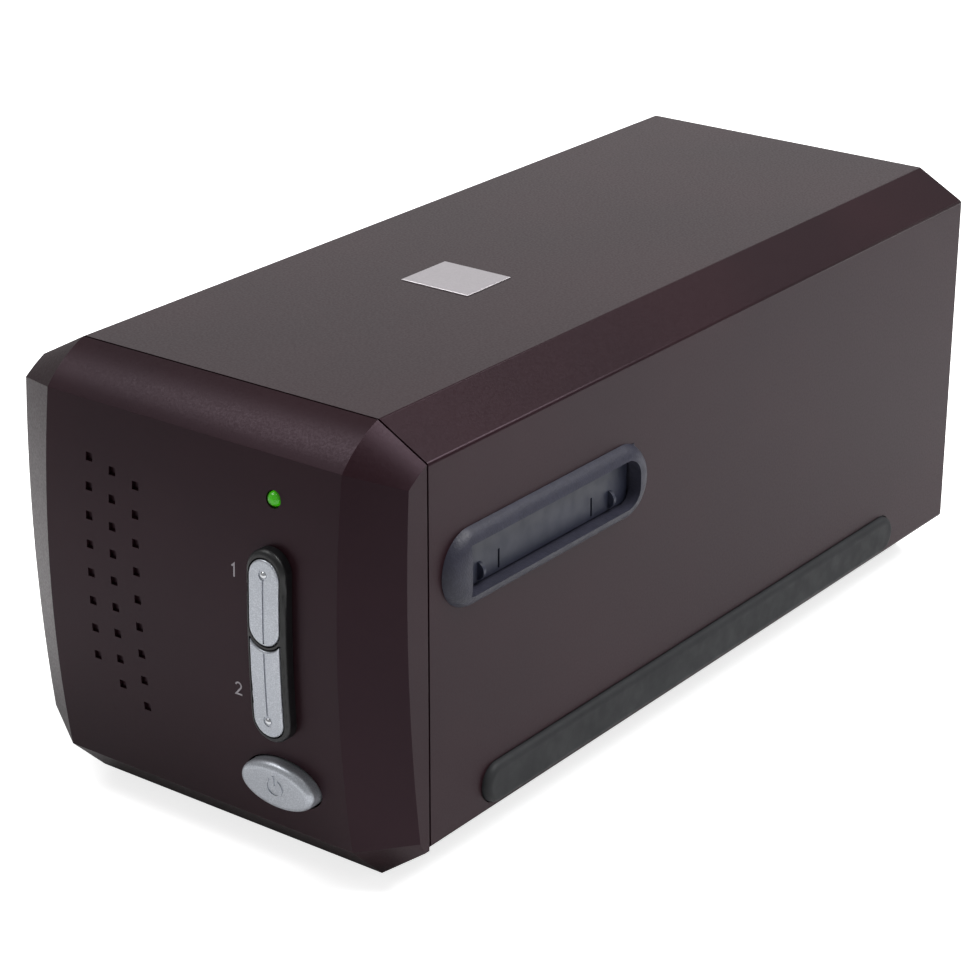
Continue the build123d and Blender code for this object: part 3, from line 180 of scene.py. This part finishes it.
def plum_paint():
    """Satin dark paint: faint cloudiness, fine flakes and a slight orange peel."""
    paint = Finish("plum_paint", 0.35, specular=0.2)
    paint.set(Specular_Tint=(1.0, 0.74, 0.9, 1.0))
    paint.colour(paint.noise(0.045, 3), srgb(28, 13, 17), srgb(33, 16, 20))
    paint.gloss(paint.noise(0.0006, 2), 0.3, 0.4)
    paint.bump(paint.cells(0.00035), 0.000006, 0.5)
    paint.bump(paint.noise(0.002, 2), 0.00001, 0.35)
    return paint.material


def grained_plastic(name, dark, light, roughness, grain, depth, specular=0.5):
    """Moulded plastic with a spark-eroded or leather-like grain."""
    plastic = Finish(name, roughness, specular=specular)
    plastic.colour(plastic.noise(grain * 3, 3), dark, light)
    plastic.gloss(plastic.noise(grain * 5, 2), roughness - 0.05, roughness + 0.06)
    plastic.bump(plastic.cells(grain), depth, 0.8)
    plastic.bump(plastic.noise(grain / 3, 2), depth / 3, 0.6)
    return plastic.material


def moulded_plastic(name, dark, light, roughness):
    """Smooth moulded plastic with a faint, uneven shine."""
    plastic = Finish(name, roughness)
    plastic.colour(plastic.noise(0.012, 3), dark, light)
    plastic.gloss(plastic.noise(0.004, 3), roughness - 0.05, roughness + 0.07)
    plastic.bump(plastic.noise(0.0009, 3), 0.000012, 0.5)
    return plastic.material


def rubber():
    """Matt rubber with a dry bloom and tiny pits."""
    soft = Finish("soft_rubber", 0.62, specular=0.22)
    soft.colour(soft.noise(0.02, 4), srgb(36, 37, 39), srgb(42, 43, 45))
    soft.gloss(soft.noise(0.005, 3), 0.55, 0.7)
    soft.bump(soft.noise(0.0005, 3), 0.00003, 0.6)
    return soft.material


def silver_paint():
    """Silver paint on plastic: bright flakes in a satin lacquer."""
    silver = Finish("silver_cap", 0.38, metallic=0.6)
    silver.colour(silver.cells(0.0003), srgb(166, 170, 178), srgb(194, 198, 205), 0.2, 0.8)
    silver.gloss(silver.noise(0.0005, 2), 0.3, 0.4)
    silver.bump(silver.noise(0.00025, 2), 0.000008, 0.5)
    silver.set(Coat_Weight=0.15, Coat_Roughness=0.2)
    return silver.material


def metal(name, dark, light, roughness, grind=(1, 1, 1), scratch=0.0006):
    """Bare or plated metal with fine tool marks that run along one way."""
    bare = Finish(name, roughness, metallic=1.0)
    marks = bare.noise(scratch, 4, 0.6, bare.stretched(*grind))
    bare.colour(marks, dark, light)
    bare.gloss(marks, roughness - 0.07, roughness + 0.08)
    bare.bump(marks, 0.000006, 0.5)
    return bare.material


def circuit_board():
    """Green lacquer over copper tracks."""
    board = Finish("circuit_board", 0.35)
    tracks = board.cells(0.004, "DISTANCE_TO_EDGE")
    board.colour(tracks, srgb(16, 74, 44), srgb(22, 92, 54), 0.02, 0.08)
    board.bump(tracks, 0.00003, 0.3)
    board.set(Coat_Weight=0.4, Coat_Roughness=0.15)
    return board.material


def clear(name, colour, roughness, glow=0.0):
    """Clear moulded plastic or glass, faintly uneven inside."""
    glass = Finish(name, roughness)
    darker = (*(0.9 * value for value in colour[:3]), 1.0)
    glass.colour(glass.noise(0.001, 2), colour, darker)
    glass.bump(glass.noise(0.0008, 2), 0.00001, 0.3)
    glass.set(Transmission_Weight=0.85, IOR=1.5, Emission_Color=colour, Emission_Strength=glow)
    return glass.material


def opal():
    """Milky acrylic that spreads the lamp's light."""
    milk = Finish("diffuser", 0.4)
    milk.colour(milk.noise(0.01, 2), srgb(226, 228, 230), srgb(238, 240, 242))
    milk.set(Transmission_Weight=0.3)
    return milk.material


def ribbon():
    """White flat cable with its fine parallel wires."""
    flat = Finish("ribbon", 0.4)
    wires = flat.noise(0.0006, 1, 0.5, flat.stretched(1, 0.02, 0.02))
    flat.colour(wires, srgb(196, 198, 200), srgb(226, 226, 222))
    flat.bump(wires, 0.00005, 0.5)
    return flat.material


finishes = {
    "plum_paint": plum_paint(),
    "black_plastic": grained_plastic(
        "black_plastic", srgb(13, 13, 15), srgb(19, 19, 21), 0.38, 0.0006, 0.00001
    ),
    "charcoal_plastic": grained_plastic(
        "charcoal_plastic", srgb(43, 43, 54), srgb(48, 48, 60), 0.45, 0.0005, 0.00006, 0.3
    ),
    "door_plastic": moulded_plastic("door_plastic", srgb(35, 38, 53), srgb(41, 44, 60), 0.45),
    "soft_rubber": rubber(),
    "silver_cap": silver_paint(),
    "silver_plate": metal("silver_plate", srgb(188, 183, 187), srgb(202, 197, 201), 0.42),
    "light_lens": clear("light_lens", srgb(84, 190, 30), 0.1, 0.15),
    "emitter": clear("emitter", srgb(220, 230, 200), 0.2, 0.2),
    "circuit_board": circuit_board(),
    "steel": metal("steel", srgb(176, 178, 180), srgb(206, 208, 210), 0.22, (1, 0.04, 1)),
    "zinc_steel": metal("zinc_steel", srgb(158, 162, 164), srgb(184, 187, 188), 0.34, scratch=0.003),
    "engineering_plastic": moulded_plastic("engineering_plastic", srgb(28, 29, 31), srgb(35, 36, 38), 0.5),
    "white_plastic": moulded_plastic("white_plastic", srgb(218, 217, 210), srgb(228, 227, 221), 0.45),
    "bronze": metal("bronze", srgb(150, 112, 62), srgb(186, 145, 88), 0.45, scratch=0.0004),
    "mirror_silver": metal("mirror_silver", srgb(232, 234, 236), srgb(240, 242, 244), 0.1, scratch=0.01),
    "optical_glass": clear("optical_glass", srgb(226, 238, 242), 0.08),
    "sensor_ceramic": moulded_plastic("sensor_ceramic", srgb(46, 48, 56), srgb(58, 60, 68), 0.25),
    "diffuser": opal(),
    "ribbon": ribbon(),
    "port_metal": metal("port_metal", srgb(176, 178, 180), srgb(202, 204, 205), 0.26, scratch=0.002),
    "polished_stud": metal(
        "polished_stud", srgb(206, 208, 212), srgb(222, 224, 228), 0.16, scratch=0.0008
    ),
    "label_print": moulded_plastic("label_print", srgb(150, 144, 150), srgb(164, 158, 164), 0.5),
}

for subpart in frame["record"]["subparts"]:
    dressed = nodes[subpart["node"]]
    dressed.data.materials.clear()
    dressed.data.materials.append(finishes[subpart["material_slot"]])


def soften(node):
    """Small rounded edges, which catch the light as moulded ones do."""
    weld = node.modifiers.new("weld", "WELD")
    weld.merge_threshold = edge_weld * MM
    bevel = node.modifiers.new("soft_edges", "BEVEL")
    bevel.width = edge_width * MM
    bevel.segments = edge_segments
    bevel.limit_method = "ANGLE"
    bevel.angle_limit = math.radians(edge_angle)
    bevel.use_clamp_overlap = True
    bevel.harden_normals = True


soften(nodes["body_cover"])


def new_piece(name, corners, faces, material):
    """Adds a mesh to the scene, all of one material."""
    mesh = bpy.data.meshes.new(name)
    mesh.from_pydata(corners, [], faces)
    mesh.materials.append(material)
    piece = bpy.data.objects.new(name, mesh)
    bpy.context.scene.collection.objects.link(piece)
    return piece


# ---- bright studs on the scan buttons ---------------------------------------
def bezel_face(z):
    """How far forward the bezel's curved face is at a height, in millimetres."""
    return bezel_centre_y - math.sqrt(bezel_radius**2 - (z - bezel_centre_z) ** 2)


def stud(name, z, body):
    """A polished dome that rises from a scan button's face and moves with it."""
    centre_y = bezel_face(z) - cap_stand + stud_radius - stud_rise
    corners = [(button_x * MM, (centre_y - stud_radius) * MM, z * MM)]
    for ring in range(1, stud_rings + 1):
        angle = math.radians(stud_sweep) * ring / stud_rings
        for sector in range(stud_sectors):
            turn = 2 * math.pi * sector / stud_sectors
            corners.append((
                (button_x + stud_radius * math.sin(angle) * math.cos(turn)) * MM,
                (centre_y - stud_radius * math.cos(angle)) * MM,
                (z + stud_radius * math.sin(angle) * math.sin(turn)) * MM,
            ))
    faces = []
    for sector in range(stud_sectors):
        faces.append((0, 1 + sector, 1 + (sector + 1) % stud_sectors))
    for ring in range(stud_rings - 1):
        inner = 1 + ring * stud_sectors
        outer = inner + stud_sectors
        for sector in range(stud_sectors):
            after = (sector + 1) % stud_sectors
            faces.append((inner + sector, outer + sector, outer + after, inner + after))
    made = new_piece(name, corners, faces, finishes["polished_stud"])
    made.data.polygons.foreach_set("use_smooth", [True] * len(faces))
    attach(made, body)


stud("upper_stud", upper_stud_z, "upper_button")
stud("lower_stud", lower_stud_z, "lower_button")


# ---- printed numerals beside the scan buttons -------------------------------
def stroke(points, width):
    """The two sides of a pen stroke of that width through the points, with mitred corners."""
    sides = []
    for place, point in enumerate(points):
        before = points[max(place - 1, 0)]
        after = points[min(place + 1, len(points) - 1)]
        first = Vector((point[0] - before[0], point[1] - before[1]))
        second = Vector((after[0] - point[0], after[1] - point[1]))
        first = first.normalized() if first.length else second.normalized()
        second = second.normalized() if second.length else first
        along = (first + second).normalized()
        across = Vector((-along.y, along.x)) * width / 2 / max(along.dot(first), sharpest_mitre)
        middle = Vector(point)
        sides.append((middle + across, middle - across))
    return sides


def numeral(name, points, z):
    """A printed figure: a thin raised stroke that lies on the bezel's curved face."""
    corners = []
    for pair in stroke(points, label_line):
        for lift in (label_rise, -label_rise):
            for side in pair:
                height = z + side.y
                depth = bezel_face(height) - lift
                corners.append(((label_x + side.x) * MM, depth * MM, height * MM))
    faces = []
    for start in range(0, len(corners) - 4, 4):
        front_a, front_b, back_a, back_b = range(start, start + 4)
        faces.append((front_a, front_b, front_b + 4, front_a + 4))
        faces.append((back_b, back_a, back_a + 4, back_b + 4))
        faces.append((back_a, front_a, front_a + 4, back_a + 4))
        faces.append((front_b, back_b, back_b + 4, front_b + 4))
    last = len(corners) - 4
    faces.append((0, 2, 3, 1))
    faces.append((last, last + 1, last + 3, last + 2))
    figure = new_piece(name, corners, faces, finishes["label_print"])
    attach(figure, "housing")


one_strokes = [one_flag, (0.0, one_top), (0.0, 0.0)]
two_strokes = []
for degrees in range(two_bowl_start, two_bowl_end - 1, -two_bowl_step):
    angle = math.radians(degrees)
    bowl_x = two_bowl_radius * math.cos(angle)
    bowl_z = two_bowl_z + two_bowl_radius * math.sin(angle)
    two_strokes.append((bowl_x, bowl_z))
for foot_x in two_foot_ends:
    two_strokes.append((foot_x, two_foot_z))
numeral("numeral_one", one_strokes, upper_label_z)
numeral("numeral_two", two_strokes, lower_label_z)


# ---- stage: floor, light and camera -----------------------------------------
def background_share(tree):
    """1 for the rays that show the background itself, and 0 for all others."""
    return tree.nodes.new("ShaderNodeLightPath").outputs["Is Camera Ray"]


def make_world(strength):
    """A plain pale studio: white where it is seen, and a soft even light elsewhere."""
    world = bpy.data.worlds.new("studio")
    bpy.context.scene.world = world
    world.use_nodes = True
    tree = world.node_tree
    level = tree.nodes.new("ShaderNodeMapRange")
    tree.links.new(background_share(tree), level.inputs["Value"])
    level.inputs["To Min"].default_value = strength
    level.inputs["To Max"].default_value = 1.0
    tree.links.new(level.outputs["Result"], tree.nodes["Background"].inputs["Strength"])
    tree.nodes["Background"].inputs["Color"].default_value = (1, 1, 1, 1)


def make_floor(half, lift):
    """A pale floor that keeps the part's shadow and fades into the white around it."""
    material = bpy.data.materials.new("floor")
    material.use_nodes = True
    tree = material.node_tree
    shader = tree.nodes["Principled BSDF"]
    shader.inputs["Base Color"].default_value = srgb(240, 240, 240)
    shader.inputs["Roughness"].default_value = 0.9
    shader.inputs["Specular IOR Level"].default_value = 0.1
    shader.inputs["Emission Color"].default_value = (1, 1, 1, 1)
    level = tree.nodes.new("ShaderNodeMath")
    level.operation = "MULTIPLY"
    tree.links.new(background_share(tree), level.inputs[0])
    level.inputs[1].default_value = lift
    tree.links.new(level.outputs["Value"], shader.inputs["Emission Strength"])
    corners = [(-half, -half, 0), (half, -half, 0), (half, half, 0), (-half, half, 0)]
    floor = new_piece("floor", corners, [(0, 1, 2, 3)], material)


def make_lamp(name, place, aim, width, height, power):
    """A soft box that faces the part."""
    data = bpy.data.lights.new(name, "AREA")
    data.shape = "RECTANGLE"
    data.size = width
    data.size_y = height
    data.energy = power
    lamp = bpy.data.objects.new(name, data)
    lamp.location = place
    lamp.rotation_mode = "QUATERNION"
    lamp.rotation_quaternion = (Vector(aim) - Vector(place)).to_track_quat("-Z", "Y")
    bpy.context.scene.collection.objects.link(lamp)


def make_camera():
    """The photograph's view of the part."""
    data = bpy.data.cameras.new("camera")
    data.lens = camera_lens
    data.sensor_width = camera_sensor
    data.clip_start = camera_near
    camera = bpy.data.objects.new("camera", data)
    camera.location = camera_place
    camera.rotation_mode = "QUATERNION"
    turned = (Vector(camera_aim) - Vector(camera_place)).to_track_quat("-Z", "Y")
    camera.rotation_quaternion = turned @ Quaternion((0, 0, 1), math.radians(camera_roll))
    bpy.context.scene.collection.objects.link(camera)
    bpy.context.scene.camera = camera


make_world(strength=0.33)
make_floor(half=8.0, lift=0.76)
make_lamp("back_left_box", (-1.1, 1.45, 0.85), (0, 0.05, 0.1), width=1.8, height=1.0, power=3.4)
make_lamp("front_left_box", (-0.6, -0.4, 1.1), (0, 0, 0.06), width=0.5, height=0.5, power=4)
make_lamp("right_box", (0.5, 0.3, 1.1), (0.17, 0.2, 0), width=0.8, height=0.8, power=18)
make_camera()
bpy.context.scene.view_settings.view_transform = "Standard"
